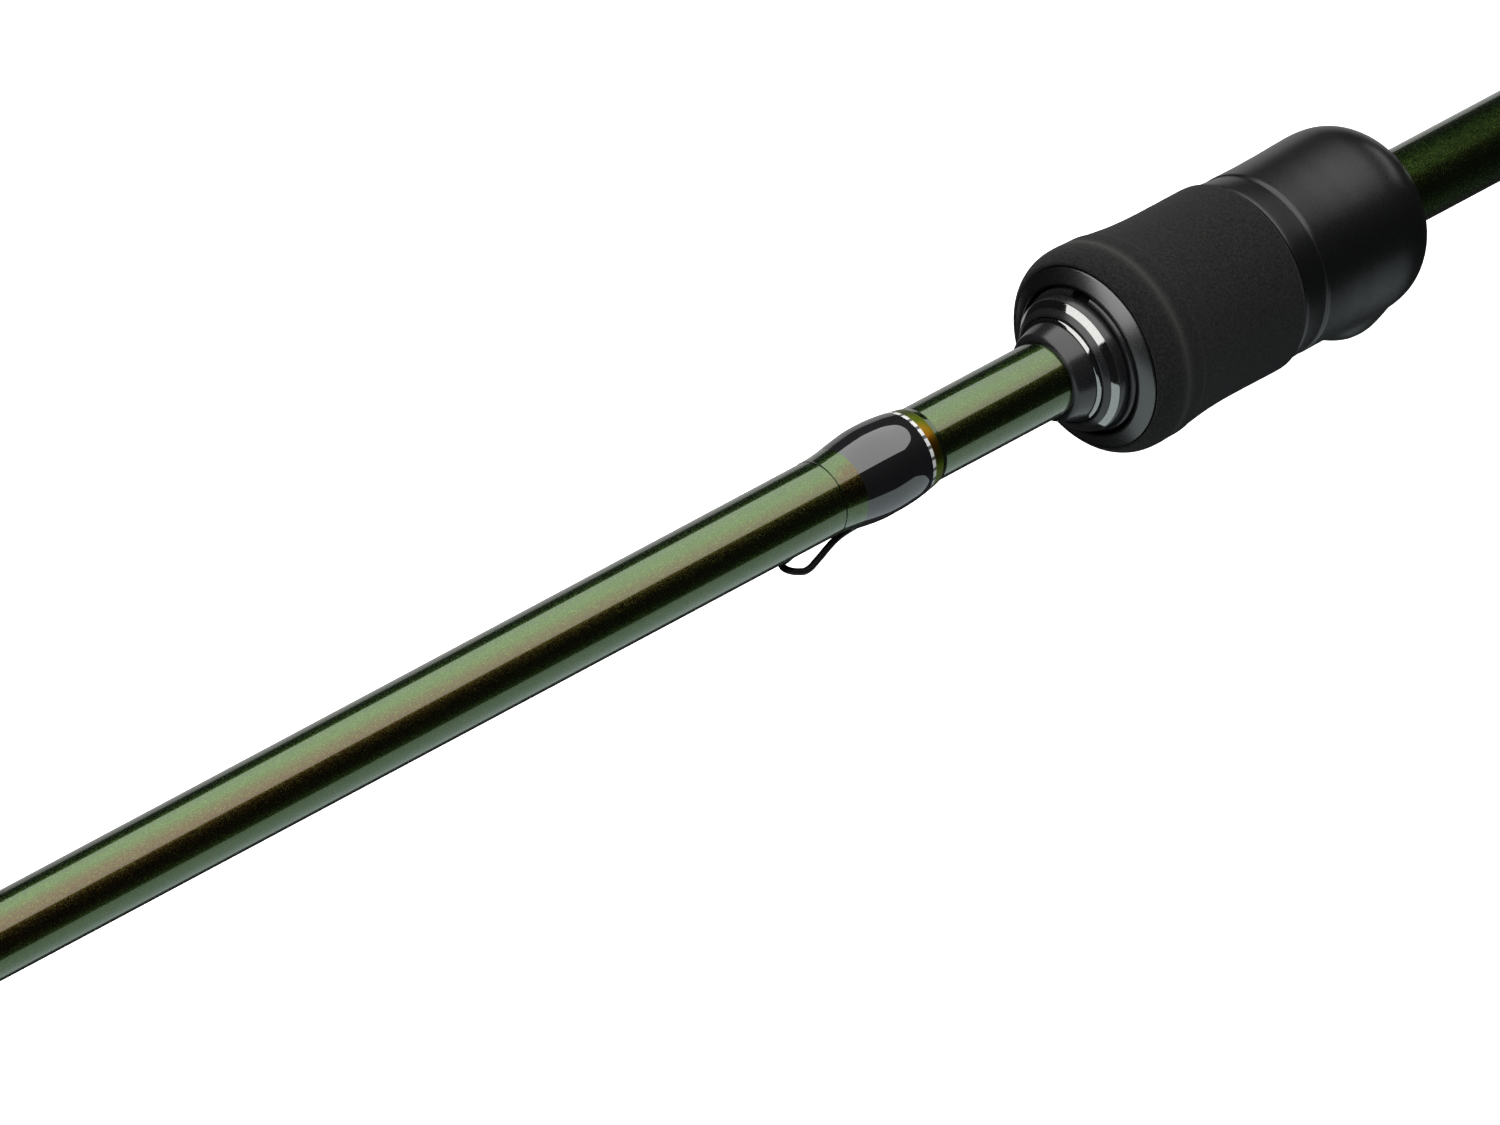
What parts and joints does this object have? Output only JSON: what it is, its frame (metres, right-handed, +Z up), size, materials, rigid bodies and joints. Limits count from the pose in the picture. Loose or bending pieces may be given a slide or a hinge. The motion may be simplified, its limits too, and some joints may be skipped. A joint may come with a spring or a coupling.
{
  "type": "spinning fishing rod",
  "caption": "Two-piece spinning rod with split foam grips, a screw-down reel seat, a hook keeper and ceramic-ringed line guides.",
  "frame": {"origin": "centre of the butt cap's flat end face, on the axis of the blank", "axes": "+X along the rod from the butt to the tip; +Z up, away from the reel and the guides, which are on the underside; +Y to the left seen from behind the butt"},
  "size_m": [1.9796, 0.028, 0.0574],
  "materials": {
    "green_blank": "dark green metallic flake paint under clear gloss on carbon fibre",
    "black_thread": "black thread under clear glossy epoxy",
    "silver_thread": "silver metallic thread under epoxy",
    "gold_thread": "orange gold thread under epoxy",
    "satin_black": "black moulded nylon, satin",
    "anodised_ring": "black anodised aluminium, satin",
    "soft_touch": "graphite nylon with a matte soft-touch coat",
    "eva_foam": "black closed-cell EVA foam, sanded matte",
    "black_rubber": "matte black rubber",
    "arbor": "pale adhesive arbor",
    "guide_steel": "gunmetal plated steel",
    "guide_ceramic": "polished dark ceramic",
    "keeper_wire": "black coated wire"
  },
  "bodies": {
    "butt_section": {"butt_blank": "green_blank", "keeper_wrap": "black_thread", "guide_25_front_wrap": "black_thread", "guide_25_rear_wrap": "black_thread", "silver_trim": "silver_thread", "gold_trim": "gold_thread", "butt_trim_ring": "satin_black", "rear_grip_check": "satin_black", "seat_rear_check": "satin_black", "threaded_barrel": "satin_black", "winding_check": "satin_black", "seat_rear_body": "soft_touch", "rear_grip": "eva_foam", "seat_rear_grip": "eva_foam", "butt_cap": "black_rubber", "rear_hood_liner": "black_rubber", "rear_arbor": "arbor", "front_arbor": "arbor", "guide_25_frame": "guide_steel", "guide_25_ring": "guide_ceramic", "hook_keeper": "keeper_wire"},
    "front_hood": {"front_hood": "soft_touch", "front_hood_liner": "black_rubber"},
    "locking_nut": {"nut_core": "satin_black", "nut_trim_ring": "anodised_ring", "fore_grip": "eva_foam"},
    "tip_section": {"tip_blank": "green_blank", "ferrule_wrap": "black_thread", "tip_top_wrap": "black_thread", "guide_16_front_wrap": "black_thread", "guide_16_rear_wrap": "black_thread", "guide_12_wrap": "black_thread", "guide_10_wrap": "black_thread", "guide_8_wrap": "black_thread", "guide_7_wrap": "black_thread", "guide_6_wrap": "black_thread", "ferrule_trim": "silver_thread", "tip_top_frame": "guide_steel", "guide_16_frame": "guide_steel", "guide_12_frame": "guide_steel", "guide_10_frame": "guide_steel", "guide_8_frame": "guide_steel", "guide_7_frame": "guide_steel", "guide_6_frame": "guide_steel", "tip_top_ring": "guide_ceramic", "guide_16_ring": "guide_ceramic", "guide_12_ring": "guide_ceramic", "guide_10_ring": "guide_ceramic", "guide_8_ring": "guide_ceramic", "guide_7_ring": "guide_ceramic", "guide_6_ring": "guide_ceramic"}
  },
  "joints": [
    {"name": "hood_slide", "type": "slide", "parent": "butt_section", "child": "front_hood", "axis": [-1, 0, 0], "range_m": [0, 0.024]},
    {"name": "nut_turn", "type": "hinge", "parent": "front_hood", "child": "locking_nut", "pos_m": [0.3945, 0, 0], "axis": [-1, 0, 0], "range_deg": [0, 4320]},
    {"name": "ferrule_slide", "type": "slide", "parent": "butt_section", "child": "tip_section", "axis": [1, 0, 0], "range_m": [0, 0.075]}
  ],
  "couplings": [
    {"joint": "nut_turn", "follows": "hood_slide", "rad_per_m": 3141.6}
  ]
}
